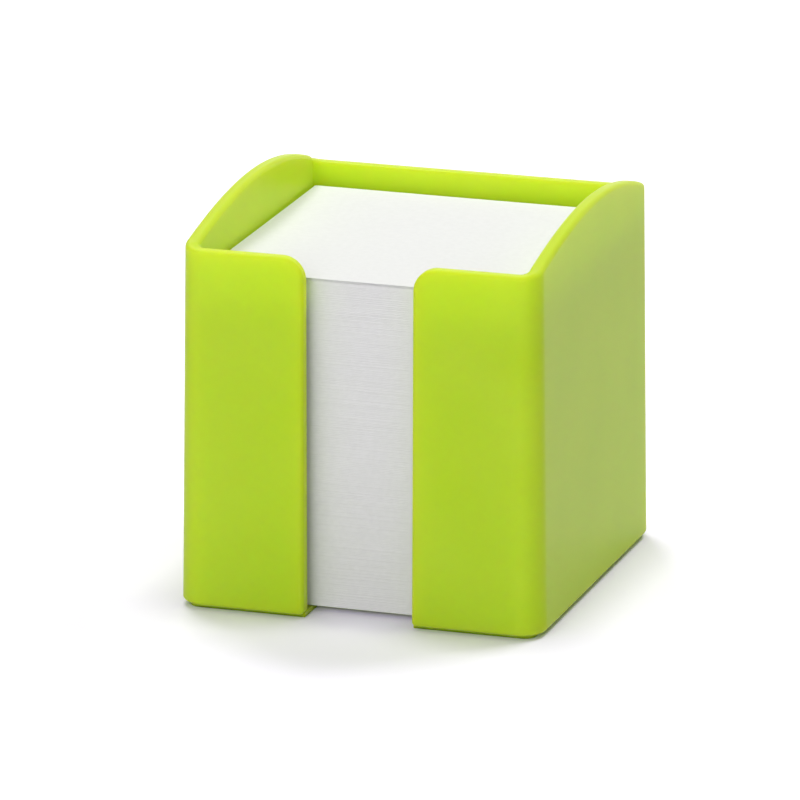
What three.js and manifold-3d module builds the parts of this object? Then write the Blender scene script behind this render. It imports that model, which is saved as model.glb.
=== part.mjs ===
// Desk note box: a thick-walled moulded box with arched side walls and a finger slot, full of loose notes.
// Millimetres, +Z up. The origin is on the standing surface, under the centre of the box.
// The slot faces -Y.

import * as THREE from 'three';
import { mergeVertices } from 'three/addons/utils/BufferGeometryUtils.js';
import Module from 'manifold-3d';

const wasm = await Module();
wasm.setup();

// Notes, which set the size of the box round them
const noteWidth = 90;
const noteSideGap = 0.9; // to each side wall at the rim
const noteBackGap = 3; // to the back wall at the rim
const noteFrontGap = 3.8; // to the front wall at the rim, room for a fingernail
const noteTopGap = 6.1; // from the top note up to the rim of the front wall
const paperThickness = 0.12; // one note of 80 gram paper with its share of air
const bundleCount = 16; // bundles of about fifty sheets
const looseCount = 5; // single notes on top of them, the last one free to take
const bundleAir = 0.05; // between one bundle or single note and the next
const noteCorner = 0.6; // the corners of the sheets are slightly worn
const frontSink = 1; // the top of the stack is pressed this much lower at its front edge

// Driving dimensions of the box
const wall = 4.1; // wall thickness at the rim
const rimHeight = 100; // standing surface to the rim on the front and back walls
const archRise = 8.2; // how far the side walls rise above that in their middle
const archLeanShare = 0.2; // how much fuller the arch is towards the back
const outerDraft = 1.35; // each outer face stands out this much more at the bottom
const innerDraft = 0.3; // each inner face stands in this much more at the bottom
const outerCorner = 6; // radius of the upright outer corners at the rim
const innerCorner = 2; // radius of the upright inner corners at the rim
const edgeRound = 1.3; // rounding of the rim and of the slot's edges

// Finger slot in the front wall
const slotWidth = 30.5;
const slotCorner = 6.5; // radius where the rim turns down into the slot
const slotReach = 4; // the slot is cut this far into the floor below the notes

// Floor, which stands out below the walls as a plinth
const floorThickness = 1.4;
const plinthHeight = 1; // the walls end this far above the standing surface
const plinthInset = 2.6; // from the outer wall faces at the bottom
const plinthCorner = 3;

// How finely curves are divided
const cornerSteps = 7;
const archSteps = 18;
const slotCornerSteps = 6;
const edgeSteps = 4;

const squareShare = 0.84; // of a half side, over which the inner and outer faces are matched squarely
const overrun = 2; // by which a cut passes the material it removes

// How loose notes lie: shares of the side clearance that takes up the turn of the whole stack and
// the shift and turn of each bundle, and the steps in radians of the uneven rhythm in which they do so
const stackTurnShare = 0.65;
const shiftShare = 0.1;
const turnShare = 0.1;
const looseTurnShare = 0.2;
const frontShiftShare = 0.03; // of the front gap
const sidewaysRhythm = 2.4;
const forwardRhythm = 3.7;
const turnRhythm = 1.9;

const limePlastic = new THREE.MeshStandardMaterial({ color: 0xb4d532, roughness: 0.32, metalness: 0 });
const notePaper = new THREE.MeshStandardMaterial({ color: 0xf6f6f4, roughness: 0.9, metalness: 0 });

// Outside half width and half depth at the rim
const halfWidth = noteWidth / 2 + noteSideGap + wall;
const halfDepth = (noteWidth + noteBackGap + noteFrontGap) / 2 + wall;

// Height of the rim at a place between the front and the back: level at both ends and arched between
function rimAt(y) {
  const place = y / halfDepth;
  return rimHeight + archRise * (1 - place ** 2) * (1 + archLeanShare * place);
}

// The wall's plan is a rounded rectangle. Its run starts in the middle of the front wall and goes
// round by the right, back and left walls. Each stretch is straight or a quarter turn.
const straightX = halfWidth - outerCorner;
const straightY = halfDepth - outerCorner;
const quarterTurn = outerCorner * Math.PI / 2;
const stretches = [
  { from: [0, -1], to: [1, -1], length: straightX },
  { corner: [1, -1], start: -Math.PI / 2, length: quarterTurn },
  { from: [1, -1], to: [1, 1], length: 2 * straightY, side: true },
  { corner: [1, 1], start: 0, length: quarterTurn },
  { from: [1, 1], to: [-1, 1], length: 2 * straightX },
  { corner: [-1, 1], start: Math.PI / 2, length: quarterTurn },
  { from: [-1, 1], to: [-1, -1], length: 2 * straightY, side: true },
  { corner: [-1, -1], start: Math.PI, length: quarterTurn },
  { from: [-1, -1], to: [0, -1], length: straightX },
];
const runLength = stretches.reduce((sum, stretch) => sum + stretch.length, 0);

// A place along a straight outer face is matched to the place square across the wall,
// except near the corners, where the inner face is shorter
function acrossWall(place, outerHalf, innerHalf) {
  const square = outerHalf * squareShare;
  const past = Math.abs(place) - square;
  if (past <= 0) return place;
  return Math.sign(place) * (square + past * (innerHalf - square) / (outerHalf - square));
}

// Plan of one wall face: the outer one, or the inner one with its own corner radius
function facePlan(run, inner) {
  const inset = inner ? wall : 0;
  const radius = inner ? innerCorner : outerCorner;
  const cornerX = halfWidth - inset - radius;
  const cornerY = halfDepth - inset - radius;
  let rest = run;
  let index = 0;
  while (index < stretches.length - 1 && rest > stretches[index].length) {
    rest -= stretches[index].length;
    index += 1;
  }
  const stretch = stretches[index];
  const share = rest / stretch.length;
  if (stretch.corner) {
    const angle = stretch.start + share * Math.PI / 2;
    return {
      x: stretch.corner[0] * cornerX + radius * Math.cos(angle),
      y: stretch.corner[1] * cornerY + radius * Math.sin(angle),
      normal: [Math.cos(angle), Math.sin(angle)],
    };
  }
  const along = (axis) => stretch.from[axis] + share * (stretch.to[axis] - stretch.from[axis]);
  if (stretch.side) {
    const y = acrossWall(along(1) * straightY, straightY, inner ? cornerY : straightY);
    return { x: stretch.from[0] * (halfWidth - inset), y, normal: [stretch.from[0], 0] };
  }
  const x = acrossWall(along(0) * straightX, straightX, inner ? cornerX : straightX);
  return { x, y: stretch.from[1] * (halfDepth - inset), normal: [0, stretch.from[1]] };
}

// A point of the wall: run along the plan, height, and depth into the wall from its outer face
function wallPoint(run, height, depth) {
  const outer = facePlan(run, false);
  const inner = facePlan(run, true);
  const fall = 1 - height / rimHeight;
  const share = depth / wall;
  const point = (face, lean) => [face.x + face.normal[0] * lean, face.y + face.normal[1] * lean];
  const [ox, oy] = point(outer, outerDraft * fall);
  const [ix, iy] = point(inner, -innerDraft * fall);
  return [ox + (ix - ox) * share, oy + (iy - oy) * share, height];
}

// The free edge of the wall, in run and height: up one side of the slot, round the rim, down the other
function freeEdge() {
  const edge = [];
  const slotEdge = slotWidth / 2;
  const cornerHeight = rimHeight - slotCorner;
  edge.push([slotEdge, plinthHeight]);
  for (let step = 0; step <= slotCornerSteps; step += 1) {
    const angle = step / slotCornerSteps * Math.PI / 2;
    edge.push([slotEdge + slotCorner * (1 - Math.cos(angle)), cornerHeight + slotCorner * Math.sin(angle)]);
  }
  let start = 0;
  stretches.forEach((stretch, index) => {
    const steps = stretch.corner ? cornerSteps : stretch.side ? archSteps : 1;
    const last = index === stretches.length - 1;
    for (let step = 1; step <= steps && !last; step += 1) {
      const run = start + stretch.length * step / steps;
      edge.push([run, rimAt(facePlan(run, false).y)]);
    }
    start += stretch.length;
  });
  for (let step = slotCornerSteps; step >= 0; step -= 1) {
    const angle = step / slotCornerSteps * Math.PI / 2;
    edge.push([runLength - slotEdge - slotCorner * (1 - Math.cos(angle)),
      cornerHeight + slotCorner * Math.sin(angle)]);
  }
  edge.push([runLength - slotEdge, plinthHeight]);
  return edge;
}

// The same edge moved into the wall by a distance, each point along the mitre of its two neighbours
function insetEdge(edge, distance) {
  const normal = (a, b) => {
    const length = Math.hypot(b[0] - a[0], b[1] - a[1]);
    return [(b[1] - a[1]) / length, -(b[0] - a[0]) / length];
  };
  const normals = edge.slice(1).map((point, index) => normal(edge[index], point));
  return edge.map((point, index) => {
    const before = normals[Math.max(index - 1, 0)];
    const after = normals[Math.min(index, normals.length - 1)];
    const scale = distance / (1 + before[0] * after[0] + before[1] * after[1]);
    return [point[0] + (before[0] + after[0]) * scale, point[1] + (before[1] + after[1]) * scale];
  });
}

// Section of the rounded free edge, from the outer face over the edge to the inner face.
// At the bottom the outer edge is rounded too, but the inner one stands square in the floor.
function edgeSection() {
  const quarter = [];
  for (let step = 0; step <= edgeSteps; step += 1) {
    const angle = step / edgeSteps * Math.PI / 2;
    const inset = edgeRound * (1 - Math.sin(angle));
    quarter.push({ inset, depth: edgeRound * (1 - Math.cos(angle)), foot: plinthHeight + inset });
  }
  const inner = quarter.map(({ inset, depth }) => ({ inset, depth: wall - depth, foot: plinthHeight }));
  return [...quarter, ...inner.reverse()];
}

// The wall as one closed skin: the rounded free edge, the two faces, the rounded foot and the bottom
function wallGeometry() {
  const edge = freeEdge();
  const section = edgeSection();
  const last = edge.length - 1;
  const lastRow = section.length - 1;
  const rows = section.map(({ inset, depth, foot }) => insetEdge(edge, inset)
    .map(([run, height], k) => wallPoint(run, k === 0 || k === last ? foot : height, depth)));
  const feet = section.map(({ inset, depth, foot }, row) => insetEdge(edge, inset).map(([run], k) => {
    if (k <= 1) return rows[row][0];
    if (k >= last - 1) return rows[row][last];
    return wallPoint(run, foot, depth);
  }));
  const positions = [];
  const triangle = (a, b, c) => positions.push(...a, ...b, ...c);
  const strip = (upper, lower, from, to) => {
    for (let k = from; k < to; k += 1) {
      triangle(upper[k], lower[k], lower[k + 1]);
      triangle(upper[k], lower[k + 1], upper[k + 1]);
    }
  };
  for (let row = 0; row < lastRow; row += 1) {
    strip(rows[row + 1], rows[row], 0, last);
  }
  strip(rows[0], feet[0], 1, last - 1);
  for (let row = 0; row < edgeSteps; row += 1) {
    strip(feet[row], feet[row + 1], 1, last - 1);
  }
  strip(feet[edgeSteps], feet[lastRow], 1, last - 1);
  strip(feet[lastRow], rows[lastRow], 1, last - 1);
  for (let row = edgeSteps + 1; row < lastRow; row += 1) {
    triangle(rows[edgeSteps][0], rows[row][0], rows[row + 1][0]);
    triangle(rows[edgeSteps][last], rows[row + 1][last], rows[row][last]);
  }
  const geometry = new THREE.BufferGeometry();
  geometry.setAttribute('position', new THREE.Float32BufferAttribute(positions, 3));
  return geometry;
}

// Rounded rectangle as a shape, centred
function roundedRectangle(width, depth, radius) {
  const x = width / 2;
  const y = depth / 2;
  const shape = new THREE.Shape();
  shape.moveTo(x - radius, -y);
  shape.absarc(x - radius, -y + radius, radius, -Math.PI / 2, 0);
  shape.absarc(x - radius, y - radius, radius, 0, Math.PI / 2);
  shape.absarc(-x + radius, y - radius, radius, Math.PI / 2, Math.PI);
  shape.absarc(-x + radius, -y + radius, radius, Math.PI, Math.PI * 1.5);
  shape.closePath();
  return shape;
}

function solidOf(geometry) {
  const plain = geometry.clone();
  plain.deleteAttribute('normal');
  plain.deleteAttribute('uv');
  const merged = mergeVertices(plain);
  return new wasm.Manifold(new wasm.Mesh({
    numProp: 3,
    vertProperties: merged.attributes.position.array,
    triVerts: Uint32Array.from(merged.index.array),
  }));
}

function geometryOf(solid) {
  const mesh = solid.getMesh();
  const geometry = new THREE.BufferGeometry();
  geometry.setAttribute('position', new THREE.BufferAttribute(mesh.vertProperties, 3));
  geometry.setIndex(new THREE.BufferAttribute(mesh.triVerts, 1));
  geometry.computeVertexNormals();
  return geometry;
}

// Where the notes lie, front to back
const noteBack = halfDepth - wall - noteBackGap;
const noteCentre = noteBack - noteWidth / 2;
const noteFront = noteBack - noteWidth;

// Floor plate: its edge lies inside the walls' feet, and the slot is cut on into it below the front
// edge of the notes
function floorSolid() {
  const width = 2 * (halfWidth + outerDraft - plinthInset);
  const depth = 2 * (halfDepth + outerDraft - plinthInset);
  const plate = new THREE.ExtrudeGeometry(roundedRectangle(width, depth, plinthCorner), {
    depth: floorThickness, bevelEnabled: false, curveSegments: cornerSteps,
  });
  const notchDepth = noteFront + slotReach + depth / 2;
  const notch = new THREE.BoxGeometry(slotWidth, notchDepth + overrun, floorThickness + 2 * overrun);
  notch.translate(0, noteFront + slotReach - (notchDepth + overrun) / 2, floorThickness / 2);
  return solidOf(plate).subtract(solidOf(notch));
}

function boxShell() {
  const shell = new THREE.Mesh(geometryOf(solidOf(wallGeometry()).add(floorSolid())), limePlastic);
  shell.name = 'box_shell';
  return shell;
}

// A bundle of sheets, or one sheet: a thin square block standing on its own underside
function noteGeometry(thickness) {
  return new THREE.ExtrudeGeometry(roundedRectangle(noteWidth, noteWidth, noteCorner), {
    depth: thickness, bevelEnabled: false, curveSegments: 1,
  });
}

// The stack stands on the floor, and the last of the single notes lies on top
const stackBase = floorThickness + bundleAir;
const stackHeight = rimHeight - noteTopGap - stackBase;
const loosePitch = paperThickness + bundleAir;
const looseBase = stackBase + stackHeight - looseCount * loosePitch;
const bundlePitch = (looseBase - stackBase) / bundleCount;

// Lowers the stack evenly towards its front edge
function pressFront(geometry) {
  const place = geometry.attributes.position;
  for (let index = 0; index < place.count; index += 1) {
    const forward = (noteBack - place.getY(index)) / noteWidth;
    const height = place.getZ(index) - stackBase;
    place.setZ(index, stackBase + height * (1 - frontSink / stackHeight * forward));
  }
}

// Loose notes never lie quite in line: the stack is turned a little between the walls, and each
// bundle is shifted and turned a little more
const clearance = noteSideGap - innerDraft;
function laidNotes(name, thickness, base, order, share) {
  const geometry = noteGeometry(thickness);
  geometry.rotateZ((share * Math.sin(order * turnRhythm) - stackTurnShare) * clearance / (noteWidth / 2));
  geometry.translate(
    shiftShare * clearance * Math.sin(order * sidewaysRhythm),
    noteCentre + frontShiftShare * noteFrontGap * Math.sin(order * forwardRhythm),
    base,
  );
  pressFront(geometry);
  const notes = new THREE.Mesh(geometry, notePaper);
  notes.name = name;
  return notes;
}

const noteBox = new THREE.Group();
noteBox.add(boxShell());
for (let order = 0; order < bundleCount; order += 1) {
  const name = `note_bundle_${String(order + 1).padStart(2, '0')}`;
  const base = stackBase + order * bundlePitch;
  noteBox.add(laidNotes(name, bundlePitch - bundleAir, base, order, turnShare));
}
for (let order = 0; order < looseCount; order += 1) {
  const name = order === looseCount - 1 ? 'top_note' : `loose_note_${order + 1}`;
  const base = looseBase + order * loosePitch;
  noteBox.add(laidNotes(name, paperThickness, base, bundleCount + order, looseTurnShare));
}

export default noteBox;
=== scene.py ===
import math
import random

import bmesh
import bpy
from mathutils import Matrix, Vector


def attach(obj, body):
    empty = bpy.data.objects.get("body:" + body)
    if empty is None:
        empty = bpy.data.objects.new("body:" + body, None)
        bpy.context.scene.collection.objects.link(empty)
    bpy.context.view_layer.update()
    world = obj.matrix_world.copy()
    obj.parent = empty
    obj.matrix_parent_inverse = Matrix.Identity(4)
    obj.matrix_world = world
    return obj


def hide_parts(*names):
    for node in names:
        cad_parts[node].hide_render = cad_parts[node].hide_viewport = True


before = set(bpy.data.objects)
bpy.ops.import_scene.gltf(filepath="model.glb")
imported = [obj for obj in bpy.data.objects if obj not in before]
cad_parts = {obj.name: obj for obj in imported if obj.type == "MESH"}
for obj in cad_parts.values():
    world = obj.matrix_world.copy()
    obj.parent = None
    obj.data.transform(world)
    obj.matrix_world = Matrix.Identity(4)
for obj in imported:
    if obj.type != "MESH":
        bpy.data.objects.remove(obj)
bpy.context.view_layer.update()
print("frame loaded:", len(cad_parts), "nodes")

millimetre = 0.001
hair = 0.001  # millimetres, heights closer than this are one height
cutTolerance = 0.0001
sharpTurn = 1  # radians, edges that turn further are rounded over


# sRGB hex to the linear colour that shader sockets hold
def linear(hexColour):
    channels = [int(hexColour[start:start + 2], 16) / 255 for start in (1, 3, 5)]
    return [c / 12.92 if c <= 0.04045 else ((c + 0.055) / 1.055) ** 2.4 for c in channels] + [1]


# Adds one node: settings go to its sockets or its own options, links come from other sockets
def addNode(tree, kind, settings=None, links=None):
    node = tree.nodes.new(kind)
    for name, value in (settings or {}).items():
        if name in node.inputs:
            node.inputs[name].default_value = value
        else:
            setattr(node, name, value)
    for name, source in (links or {}).items():
        tree.links.new(source, node.inputs[name])
    return node


def newMaterial(name):
    material = bpy.data.materials.new(name)
    material.use_nodes = True
    material.node_tree.nodes.clear()
    return material, material.node_tree


# Polystyrene, injection moulded and satin-glossy, tinted in the mass. Light enters the wall, so the
# rim and the wall above the notes glow, and the wall behind the white paper stays duller.
limePlastic = {
    "colour": "#c7ea3c",
    "cloudColour": "#c2e733",
    "cloudSize": 28,  # the melt's colour varies slightly over this distance
    "cloudDetail": 2,
    "cloudRoughness": 0.4,
    "cloudSpread": (0.3, 0.7),  # of the pattern's range, where the two colours are reached
    "roughness": 0.30,
    "roughnessSpread": 0.05,
    "ior": 1.53,
    "specular": 0.04,
    "translucency": 0.95,
    "lightPath": (13, 10, 1.8),  # how far red, green and blue light travel in the plastic
    "rippleSize": 3.0,  # faint moulded orange peel
    "rippleHeight": 0.004,
    "rippleDetail": 1,
    "grainSize": 0.35,  # spark-eroded satin of the mould, drawn coarser than its 0.05 mm
    "grainHeight": 0.0008,
    "grainDetail": 2,
}


def makeLimePlastic(plastic):
    material, tree = newMaterial("lime_polystyrene_moulded")
    place = addNode(tree, "ShaderNodeTexCoord").outputs["Object"]
    cloud = addNode(tree, "ShaderNodeTexNoise", {
        "Scale": 1 / (plastic["cloudSize"] * millimetre),
        "Detail": plastic["cloudDetail"],
        "Roughness": plastic["cloudRoughness"],
    }, {"Vector": place})
    colour = addNode(tree, "ShaderNodeValToRGB", links={"Fac": cloud.outputs["Fac"]})
    colour.color_ramp.elements[0].position = plastic["cloudSpread"][0]
    colour.color_ramp.elements[0].color = linear(plastic["cloudColour"])
    colour.color_ramp.elements[1].position = plastic["cloudSpread"][1]
    colour.color_ramp.elements[1].color = linear(plastic["colour"])
    gloss = addNode(tree, "ShaderNodeMapRange", {
        "To Min": plastic["roughness"] - plastic["roughnessSpread"],
        "To Max": plastic["roughness"] + plastic["roughnessSpread"],
    }, {"Value": cloud.outputs["Fac"]})
    ripple = addNode(tree, "ShaderNodeTexNoise", {
        "Scale": 1 / (plastic["rippleSize"] * millimetre), "Detail": plastic["rippleDetail"],
    }, {"Vector": place})
    grain = addNode(tree, "ShaderNodeTexNoise", {
        "Scale": 1 / (plastic["grainSize"] * millimetre), "Detail": plastic["grainDetail"],
    }, {"Vector": place})
    rippleBump = addNode(tree, "ShaderNodeBump", {
        "Distance": plastic["rippleHeight"] * millimetre,
    }, {"Height": ripple.outputs["Fac"]})
    grainBump = addNode(tree, "ShaderNodeBump", {
        "Distance": plastic["grainHeight"] * millimetre,
    }, {"Height": grain.outputs["Fac"], "Normal": rippleBump.outputs["Normal"]})
    shader = addNode(tree, "ShaderNodeBsdfPrincipled", {
        "IOR": plastic["ior"],
        "Specular IOR Level": plastic["specular"],
        "Subsurface Weight": plastic["translucency"],
        "Subsurface Radius": plastic["lightPath"],
        "Subsurface Scale": millimetre,
    }, {
        "Base Color": colour.outputs["Color"],
        "Roughness": gloss.outputs["Result"],
        "Normal": grainBump.outputs["Normal"],
    })
    addNode(tree, "ShaderNodeOutputMaterial", links={"Surface": shader.outputs["BSDF"]})
    return material


# Uncoated woodfree writing paper, 80 g/m2, machine made and guillotined: matt, bright and slightly fibrous.
notePaper = {
    "colour": "#f3f3f2",
    "fleckColour": "#f0f0ef",
    "fleckSize": 1.5,  # clouding of the fibres
    "fleckDetail": 3,
    "fleckSpread": (0.35, 0.65),
    "roughness": 0.85,
    "specular": 0.25,
    "fibreSize": 0.3,
    "fibreHeight": 0.003,
    "fibreDetail": 2,
    "fibreDistortion": 1.5,
}


def makeNotePaper(paper):
    material, tree = newMaterial("uncoated_white_paper")
    place = addNode(tree, "ShaderNodeTexCoord").outputs["Object"]
    flecks = addNode(tree, "ShaderNodeTexNoise", {
        "Scale": 1 / (paper["fleckSize"] * millimetre), "Detail": paper["fleckDetail"],
    }, {"Vector": place})
    colour = addNode(tree, "ShaderNodeValToRGB", links={"Fac": flecks.outputs["Fac"]})
    colour.color_ramp.elements[0].position = paper["fleckSpread"][0]
    colour.color_ramp.elements[0].color = linear(paper["fleckColour"])
    colour.color_ramp.elements[1].position = paper["fleckSpread"][1]
    colour.color_ramp.elements[1].color = linear(paper["colour"])
    fibres = addNode(tree, "ShaderNodeTexNoise", {
        "Scale": 1 / (paper["fibreSize"] * millimetre),
        "Detail": paper["fibreDetail"],
        "Distortion": paper["fibreDistortion"],
    }, {"Vector": place})
    bump = addNode(tree, "ShaderNodeBump", {
        "Distance": paper["fibreHeight"] * millimetre,
    }, {"Height": fibres.outputs["Fac"]})
    shader = addNode(tree, "ShaderNodeBsdfPrincipled", {
        "Roughness": paper["roughness"],
        "Specular IOR Level": paper["specular"],
    }, {"Base Color": colour.outputs["Color"], "Normal": bump.outputs["Normal"]})
    addNode(tree, "ShaderNodeOutputMaterial", links={"Surface": shader.outputs["BSDF"]})
    return material


plasticMaterial = makeLimePlastic(limePlastic)
paperMaterial = makeNotePaper(notePaper)
print("materials made")


# Turns a bmesh in millimetres into an object in metres, with its sharp edges marked
def makePiece(name, bm, material, creaseAngle=40):
    for edge in bm.edges:
        edge.smooth = edge.calc_face_angle(0) < math.radians(creaseAngle)
    for face in bm.faces:
        face.smooth = True
    bmesh.ops.scale(bm, vec=Vector((1, 1, 1)) * millimetre, verts=bm.verts)
    mesh = bpy.data.meshes.new(name)
    bm.to_mesh(mesh)
    bm.free()
    mesh.materials.append(material)
    piece = bpy.data.objects.new(name, mesh)
    bpy.context.scene.collection.objects.link(piece)
    return piece


def cutAt(bm, point, direction):
    geometry = bm.verts[:] + bm.edges[:] + bm.faces[:]
    bmesh.ops.bisect_plane(bm, geom=geometry, plane_co=point, plane_no=direction, dist=cutTolerance)


def roundEdges(bm, edges, radius, segments):
    bmesh.ops.bevel(
        bm, geom=edges, affect="EDGES", offset=radius, offset_type="OFFSET",
        segments=segments, profile=0.5, material=-1, clamp_overlap=False, loop_slide=True,
    )


def roundCorners(bm, corners, radius, segments):
    bmesh.ops.bevel(
        bm, geom=corners, affect="VERTICES", offset=radius, offset_type="OFFSET",
        segments=segments, profile=0.5, material=-1, clamp_overlap=False,
    )


def thicken(bm, direction):
    made = bmesh.ops.extrude_face_region(bm, geom=bm.faces[:])["geom"]
    moved = [part for part in made if isinstance(part, bmesh.types.BMVert)]
    bmesh.ops.translate(bm, vec=direction, verts=moved)
    bmesh.ops.recalc_face_normals(bm, faces=bm.faces)


# The moulding. Sizes as in the CAD part.
box = {
    "halfWidth": 50,
    "halfDepth": 52.5,
    "wall": 4.1,
    "rimHeight": 100,
    "archRise": 8.2,
    "archLean": 0.2,  # share by which the arch is fuller towards the back
    "outerDraft": 1.35,
    "innerDraft": 0.3,
    "outerCorner": 6,
    "innerCorner": 2,
    "edgeRound": 1.3,
    "edgeSegments": 6,
    "slotHalf": 15.25,
    "slotCorner": 6.5,
    "slotSegments": 12,
    "cornerSteps": 12,
    "archSteps": 40,
    "squareShare": 0.84,  # of a half side, where the two faces are matched squarely
    "footHeight": 1,
    "floorThickness": 1.4,
    "floorInset": 2.6,
    "floorCorner": 3,
    "floorRound": 0.25,
    "floorRoundSegments": 3,
    "notchEdge": -40.6,  # the slot goes on into the floor under the notes' front edge
}

straightX = box["halfWidth"] - box["outerCorner"]
straightY = box["halfDepth"] - box["outerCorner"]
quarterTurn = box["outerCorner"] * math.pi / 2

# The plan's run, from the middle of the front round by the right: straight stretches and quarter turns
stretches = [
    {"length": straightX, "from": (0, -1), "to": (1, -1), "steps": 1},
    {"length": quarterTurn, "corner": (1, -1), "start": -math.pi / 2, "steps": box["cornerSteps"]},
    {"length": 2 * straightY, "from": (1, -1), "to": (1, 1), "steps": box["archSteps"]},
    {"length": quarterTurn, "corner": (1, 1), "start": 0, "steps": box["cornerSteps"]},
    {"length": 2 * straightX, "from": (1, 1), "to": (-1, 1), "steps": 1},
    {"length": quarterTurn, "corner": (-1, 1), "start": math.pi / 2, "steps": box["cornerSteps"]},
    {"length": 2 * straightY, "from": (-1, 1), "to": (-1, -1), "steps": box["archSteps"]},
    {"length": quarterTurn, "corner": (-1, -1), "start": math.pi, "steps": box["cornerSteps"]},
    {"length": straightX, "from": (-1, -1), "to": (0, -1), "steps": 1},
]
runLength = sum(stretch["length"] for stretch in stretches)


def rimAt(y):
    place = y / box["halfDepth"]
    return box["rimHeight"] + box["archRise"] * (1 - place ** 2) * (1 + box["archLean"] * place)


# A place on a straight outer face and its match on the inner one, which is shorter towards the corners
def acrossWall(place, outerHalf, innerHalf):
    square = outerHalf * box["squareShare"]
    past = abs(place) - square
    if past <= 0:
        return place
    return math.copysign(square + past * (innerHalf - square) / (outerHalf - square), place)


# Plan of the outer or inner face: the point at a run, and the way the face looks there
def facePlan(run, inner):
    inset = box["wall"] if inner else 0
    radius = box["innerCorner"] if inner else box["outerCorner"]
    cornerX = box["halfWidth"] - inset - radius
    cornerY = box["halfDepth"] - inset - radius
    for stretch in stretches:
        if run <= stretch["length"] or stretch is stretches[-1]:
            break
        run -= stretch["length"]
    share = run / stretch["length"]
    if "corner" in stretch:
        angle = stretch["start"] + share * math.pi / 2
        outward = Vector((math.cos(angle), math.sin(angle)))
        centre = Vector((stretch["corner"][0] * cornerX, stretch["corner"][1] * cornerY))
        return centre + radius * outward, outward
    x, y = Vector(stretch["from"]).lerp(Vector(stretch["to"]), share)
    if stretch["from"][0] == stretch["to"][0]:
        y = acrossWall(y * straightY, straightY, cornerY if inner else straightY)
        return Vector((x * (box["halfWidth"] - inset), y)), Vector((x, 0))
    x = acrossWall(x * straightX, straightX, cornerX if inner else straightX)
    return Vector((x, y * (box["halfDepth"] - inset))), Vector((0, y))


# Bends a point of the flat slab, its run, depth and height, to its place in the drafted wall
def wallPoint(run, depth, height):
    outer, outward = facePlan(run, False)
    inner, inward = facePlan(run, True)
    fall = 1 - height / box["rimHeight"]
    outer = outer + outward * box["outerDraft"] * fall
    inner = inner - inward * box["innerDraft"] * fall
    return outer.lerp(inner, depth / box["wall"]).to_3d() + Vector((0, 0, height))


# The wall starts as a flat slab, unrolled from one side of the slot to the other
def makeWall():
    bm = bmesh.new()
    foot, rim = box["footHeight"], box["rimHeight"]
    ends = (box["slotHalf"], runLength - box["slotHalf"])
    outline = [bm.verts.new((run, 0, height)) for run, height in
               ((ends[0], foot), (ends[1], foot), (ends[1], rim), (ends[0], rim))]
    bm.faces.new(outline)
    roundCorners(bm, outline[2:], box["slotCorner"], box["slotSegments"])
    start = 0
    for stretch in stretches[:-1]:
        for step in range(stretch["steps"]):
            cutAt(bm, (start + stretch["length"] * (step + 1) / stretch["steps"], 0, 0), (1, 0, 0))
        start += stretch["length"]
    for vert in bm.verts:
        if vert.co.z > rim - hair:
            vert.co.z = rimAt(facePlan(vert.co.x, False)[0].y)
    thicken(bm, (0, box["wall"], 0))
    rounded = [
        edge for edge in bm.edges if edge.calc_face_angle(0) > sharpTurn
        and not all(vert.co.y > box["wall"] / 2 and vert.co.z < foot + hair for vert in edge.verts)
    ]  # all but the foot's inner edge, which the floor meets
    roundEdges(bm, rounded, box["edgeRound"], box["edgeSegments"])
    for vert in bm.verts:
        vert.co = wallPoint(*vert.co)
    return bm


# The floor stands below the walls as a plinth, and is cut away behind the slot
def makeFloorPlate():
    bm = bmesh.new()
    halfX = box["halfWidth"] + box["outerDraft"] - box["floorInset"]
    halfY = box["halfDepth"] + box["outerDraft"] - box["floorInset"]
    corners = bmesh.ops.create_grid(bm, x_segments=1, y_segments=1, size=1)["verts"]
    bmesh.ops.scale(bm, vec=(halfX, halfY, 1), verts=corners)
    roundCorners(bm, corners, box["floorCorner"], box["cornerSteps"])
    for x in (-box["slotHalf"], box["slotHalf"]):
        cutAt(bm, (x, 0, 0), (1, 0, 0))
    cutAt(bm, (0, box["notchEdge"], 0), (0, 1, 0))
    notch = [face for face in bm.faces if abs(face.calc_center_median().x) < box["slotHalf"]
             and face.calc_center_median().y < box["notchEdge"]]
    bmesh.ops.delete(bm, geom=notch, context="FACES")
    thicken(bm, (0, 0, box["floorThickness"]))
    lower = [edge for edge in bm.edges if edge.calc_face_angle(0) > sharpTurn
             and all(vert.co.z < hair for vert in edge.verts)]
    roundEdges(bm, lower, box["floorRound"], box["floorRoundSegments"])
    return bm


def makeMoulding():
    moulding = makePiece("boxMoulding", makeWall(), plasticMaterial)
    plate = makePiece("floorPlate", makeFloorPlate(), plasticMaterial)
    union = moulding.modifiers.new("floor", "BOOLEAN")
    union.operation = "UNION"
    union.solver = "EXACT"
    union.object = plate
    bpy.context.view_layer.update()
    joined = bpy.data.meshes.new_from_object(moulding.evaluated_get(bpy.context.evaluated_depsgraph_get()))
    moulding.modifiers.clear()
    moulding.data = joined
    bpy.data.objects.remove(plate)
    normals = moulding.modifiers.new("normals", "WEIGHTED_NORMAL")
    normals.keep_sharp = True
    return moulding


moulding = makeMoulding()
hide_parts("box_shell")
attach(moulding, "box")
print("moulding made:", len(moulding.data.polygons), "faces")


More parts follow.
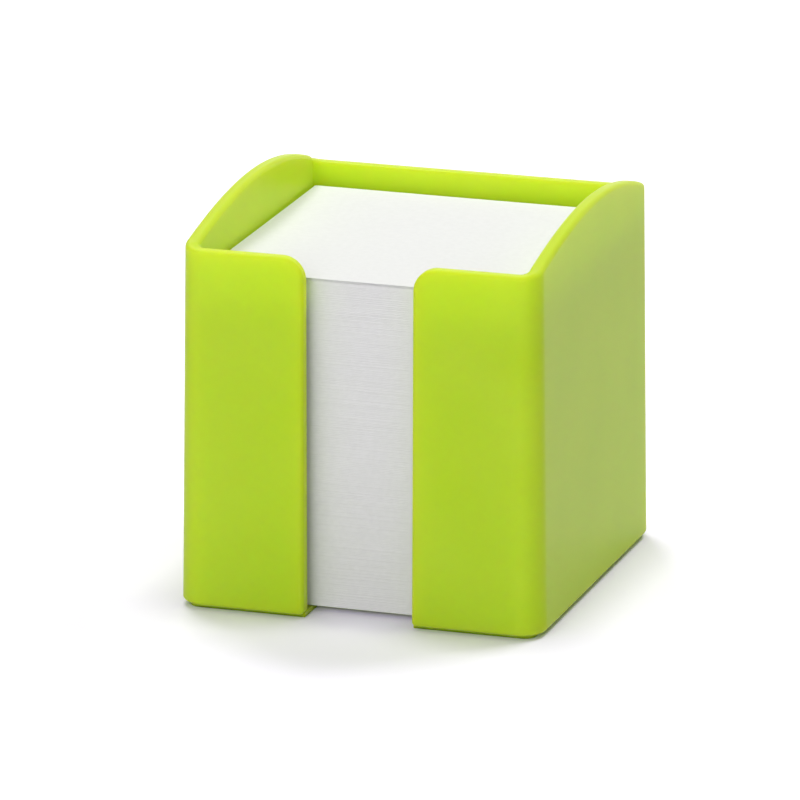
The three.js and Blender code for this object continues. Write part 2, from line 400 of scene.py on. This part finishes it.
# The notes. Each CAD bundle becomes its separate sheets, cut from a ream and dropped into the box in
# four packs, whose joints show as faint lines.
notes = {
    "width": 90,
    "corner": 0.5,
    "cornerSegments": 2,
    "centre": 0.4,  # front to back
    "base": 1.45,  # underside of the stack
    "bundles": 16,
    "bundleHeight": 5.725,
    "singlePitch": 0.17,
    "sheetPitch": 0.1145,
    "thickness": 0.1,
    "turn": -0.5,  # degrees, how the stack lies between the walls
    "frontSink": 1.0,  # the top of the stack is this much lower at its front edge
    "packTops": (31, 67, 76),  # heights of the joints between packs
    "packShift": (0.1, 0.35),  # sideways, and front to back
    "scatter": 0.03,  # how unevenly the sheets lie
    "sheetTurn": 0.02,  # degrees
    "seed": 7,
    "curls": (0.01, 0.02, 0.03, 0.05, 0.09),  # corners of the topmost sheets, upwards
    "curlSteps": 12,
    "curlPower": 3,  # the curl keeps to the corners
}
singlesBase = notes["base"] + notes["bundles"] * notes["bundleHeight"]
stackHeight = singlesBase + len(notes["curls"]) * notes["singlePitch"] - notes["base"]


# A guillotined sheet lying on its own underside. Where it curls, its corners stand up a little.
def makeSheet(curl):
    bm = bmesh.new()
    corners = bmesh.ops.create_grid(bm, x_segments=1, y_segments=1, size=notes["width"] / 2)["verts"]
    roundCorners(bm, corners, notes["corner"], notes["cornerSegments"])
    if curl:
        for step in range(1, notes["curlSteps"]):
            place = (step / notes["curlSteps"] - 0.5) * notes["width"]
            cutAt(bm, (place, 0, 0), (1, 0, 0))
            cutAt(bm, (0, place, 0), (0, 1, 0))
        halfDiagonal = notes["width"] * math.sqrt(0.5)
        for vert in bm.verts:
            vert.co.z += curl * (vert.co.xy.length / halfDiagonal) ** notes["curlPower"]
    thicken(bm, (0, 0, notes["thickness"]))
    sheet = bpy.data.meshes.new("sheet")
    bm.to_mesh(sheet)
    bm.free()
    return sheet


# Sheets from a height upwards, at an even pitch. The turned stack sinks towards its front edge.
def layNotes(sheet, low, count, pitch):
    bm = bmesh.new()
    aside, ahead = notes["packShift"]
    for index in range(count):
        base = low + index * pitch
        pack = sum(base > top for top in notes["packTops"])
        packs = random.Random(f"{notes['seed']}pack{pack}")
        sheets = random.Random(f"{notes['seed']}sheet{base:.3f}")
        added = len(bm.verts)
        bm.from_mesh(sheet)
        bm.verts.ensure_lookup_table()
        fresh = bm.verts[added:]
        turn = math.radians(notes["turn"] + sheets.gauss(0, notes["sheetTurn"]))
        bmesh.ops.rotate(bm, cent=(0, 0, 0), matrix=Matrix.Rotation(turn, 3, "Z"), verts=fresh)
        bmesh.ops.translate(bm, verts=fresh, vec=(
            packs.uniform(-1, 1) * aside + sheets.gauss(0, notes["scatter"]),
            notes["centre"] + packs.uniform(-1, 1) * ahead + sheets.gauss(0, notes["scatter"]),
            base,
        ))
    for vert in bm.verts:
        forward = 0.5 + (notes["centre"] - vert.co.y) / notes["width"]
        height = vert.co.z - notes["base"]
        vert.co.z = notes["base"] + height * (1 - notes["frontSink"] / stackHeight * forward)
    return bm


def addNotes(name, bm, node):
    sheets = makePiece(name, bm, paperMaterial)
    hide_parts(node)
    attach(sheets, "top_note" if node == "top_note" else "note_stack")


flatSheet = makeSheet(0)
sheetsInBundle = round(notes["bundleHeight"] / notes["sheetPitch"])
for order in range(notes["bundles"]):
    bundleBase = notes["base"] + order * notes["bundleHeight"]
    bundle = layNotes(flatSheet, bundleBase, sheetsInBundle, notes["sheetPitch"])
    addNotes(f"noteSheets{order + 1:02}", bundle, f"note_bundle_{order + 1:02}")
for order, curl in enumerate(notes["curls"]):
    sheetBase = singlesBase + order * notes["singlePitch"]
    sheet = layNotes(makeSheet(curl), sheetBase, 1, notes["singlePitch"])
    if order == len(notes["curls"]) - 1:
        addNotes("topNote", sheet, "top_note")
    else:
        addNotes(f"looseNote{order + 1}", sheet, f"loose_note_{order + 1}")
print("notes made")


# White table and surroundings. The camera, reflections and light through the plastic see them
# as white, and they light the object at a plain level. The table glows weakly near the box, so that
# it keeps the shadow. The glow is taken away in the gap under the walls and close round the box's foot,
# which paints a dark contact shade there.
stage = {
    "radius": 4,
    "edgeSegments": 96,
    "drop": 0.00002,  # keeps the table just clear of the floor plate
    "floorColour": "#f2ecfd",  # a trace of violet, which the light from the plastic makes neutral
    "nearGlow": 0.42,
    "farGlow": 0.9,
    "farFrom": 0.45,  # metres from the box
    "farTo": 1.4,
    "paintedContactShade": 0.018,  # painted contact shade: the glow fades within this distance of something standing on the table
    "paintedContactShadePower": 2.0,  # how strongly the glow fades there, how dark the painted contact shade gets
    "paintedContactShadeSamples": 8,
    "fillStrength": 0.08,
}


def addMath(tree, operation, first, second=None):
    node = addNode(tree, "ShaderNodeMath", {"operation": operation})
    for socket, value in zip(node.inputs, (first, second)):
        if isinstance(value, (int, float)):
            socket.default_value = value
        elif value is not None:
            tree.links.new(value, socket)
    return node.outputs[0]


def isSeenDirectly(tree):
    path = addNode(tree, "ShaderNodeLightPath").outputs
    seen = addMath(tree, "MAXIMUM", path["Is Camera Ray"], path["Is Glossy Ray"])
    return addMath(tree, "MAXIMUM", seen, path["Is Transmission Ray"])


# How much the table glows at a place. The glow is less near things standing on the table, which paints
# contact shade there.
def tableGlow(tree):
    place = addNode(tree, "ShaderNodeTexCoord").outputs["Object"]
    distance = addNode(tree, "ShaderNodeVectorMath", {"operation": "LENGTH"})
    tree.links.new(place, distance.inputs[0])
    glow = addNode(tree, "ShaderNodeMapRange", {
        "From Min": stage["farFrom"], "From Max": stage["farTo"],
        "To Min": stage["nearGlow"], "To Max": stage["farGlow"],
    }, {"Value": distance.outputs["Value"]})
    # Ambient occlusion takes the glow away near the box's foot and under its walls: painted contact shade
    paintedContactShade = addNode(tree, "ShaderNodeAmbientOcclusion", {
        "samples": stage["paintedContactShadeSamples"], "Distance": stage["paintedContactShade"],
    })
    glowLeftByPaintedShade = addMath(tree, "POWER", paintedContactShade.outputs["AO"], stage["paintedContactShadePower"])
    return addMath(tree, "MULTIPLY", glow.outputs["Result"], glowLeftByPaintedShade)


def makeStage():
    material, tree = newMaterial("table_white")
    diffuse = addNode(tree, "ShaderNodeBsdfDiffuse", {"Color": linear(stage["floorColour"])})
    strength = addMath(tree, "MULTIPLY", isSeenDirectly(tree), tableGlow(tree))
    glow = addNode(tree, "ShaderNodeEmission", {"Color": (1, 1, 1, 1)}, {"Strength": strength})
    both = addNode(tree, "ShaderNodeAddShader")
    tree.links.new(diffuse.outputs[0], both.inputs[0])
    tree.links.new(glow.outputs[0], both.inputs[1])
    addNode(tree, "ShaderNodeOutputMaterial", links={"Surface": both.outputs[0]})
    bm = bmesh.new()
    bmesh.ops.create_circle(bm, cap_ends=True, segments=stage["edgeSegments"], radius=stage["radius"])
    bmesh.ops.translate(bm, vec=(0, 0, -stage["drop"]), verts=bm.verts)
    mesh = bpy.data.meshes.new("table")
    bm.to_mesh(mesh)
    bm.free()
    mesh.materials.append(material)
    table = bpy.data.objects.new("table", mesh)
    bpy.context.scene.collection.objects.link(table)

    world = bpy.data.worlds.new("white_room")
    bpy.context.scene.world = world
    world.use_nodes = True
    tree = world.node_tree
    tree.nodes.clear()
    fill = addNode(tree, "ShaderNodeBackground", {"Color": (1, 1, 1, 1), "Strength": stage["fillStrength"]})
    white = addNode(tree, "ShaderNodeBackground", {"Color": (1, 1, 1, 1), "Strength": 1})
    mixed = addNode(tree, "ShaderNodeMixShader")
    tree.links.new(isSeenDirectly(tree), mixed.inputs[0])
    tree.links.new(fill.outputs[0], mixed.inputs[1])
    tree.links.new(white.outputs[0], mixed.inputs[2])
    addNode(tree, "ShaderNodeOutputWorld", links={"Surface": mixed.outputs[0]})


makeStage()

# Soft boxes, all turned to the middle of the box: power in watts, size and place in metres
lightAim = Vector((0, 0, 0.05))
lights = {
    "backRight": {"power": 6.8, "size": 0.4, "place": (0.4, 0.5, 1.1)},
    "backLeft": {"power": 6.0, "size": 0.4, "place": (-0.4, 0.5, 1.1)},
    "front": {"power": 6.7, "size": 0.8, "place": (0.1, -1.3, 0.5)},
    "frontNear": {"power": 0.34, "size": 0.3, "place": (-0.1, -0.38, 0.3)},
}
for name, light in lights.items():
    lamp = bpy.data.lights.new(name, "AREA")
    lamp.shape = "SQUARE"
    lamp.size = light["size"]
    lamp.energy = light["power"]
    holder = bpy.data.objects.new(name, lamp)
    holder.location = light["place"]
    aim = lightAim - Vector(light["place"])
    holder.rotation_euler = aim.to_track_quat("-Z", "Y").to_euler()
    bpy.context.scene.collection.objects.link(holder)

# Camera, from the photograph: angles round the box in degrees, and where the box's middle lies
# in the picture
view = {
    "azimuth": 17.885,
    "elevation": 15.976,
    "distance": 2.1352,
    "lens": 352.6,
    "sensor": 36,
    "clip": (0.1, 20),
    "target": (0, 0, 0.05),
    "picture": 800,
    "targetPixel": (418.0, 393.7),
}


def makeCamera():
    azimuth, elevation = math.radians(view["azimuth"]), math.radians(view["elevation"])
    back = Vector((math.sin(azimuth) * math.cos(elevation), -math.cos(azimuth) * math.cos(elevation),
                   math.sin(elevation)))
    right = Vector((0, 0, 1)).cross(back).normalized()
    up = back.cross(right)
    middle = view["picture"] / 2
    pixel = view["sensor"] / view["lens"] / view["picture"]
    aside = (view["targetPixel"][0] - middle) * pixel
    above = (middle - view["targetPixel"][1]) * pixel
    aim = -back - right * aside - up * above
    data = bpy.data.cameras.new("camera")
    data.lens = view["lens"]
    data.sensor_width = view["sensor"]
    data.clip_start, data.clip_end = view["clip"]
    camera = bpy.data.objects.new("camera", data)
    camera.location = Vector(view["target"]) + back * view["distance"]
    camera.rotation_mode = "QUATERNION"
    camera.rotation_quaternion = aim.to_track_quat("-Z", "Y")
    bpy.context.scene.collection.objects.link(camera)
    bpy.context.scene.camera = camera


makeCamera()
bpy.context.scene.view_settings.view_transform = "Standard"
print("stage, lights and camera made")
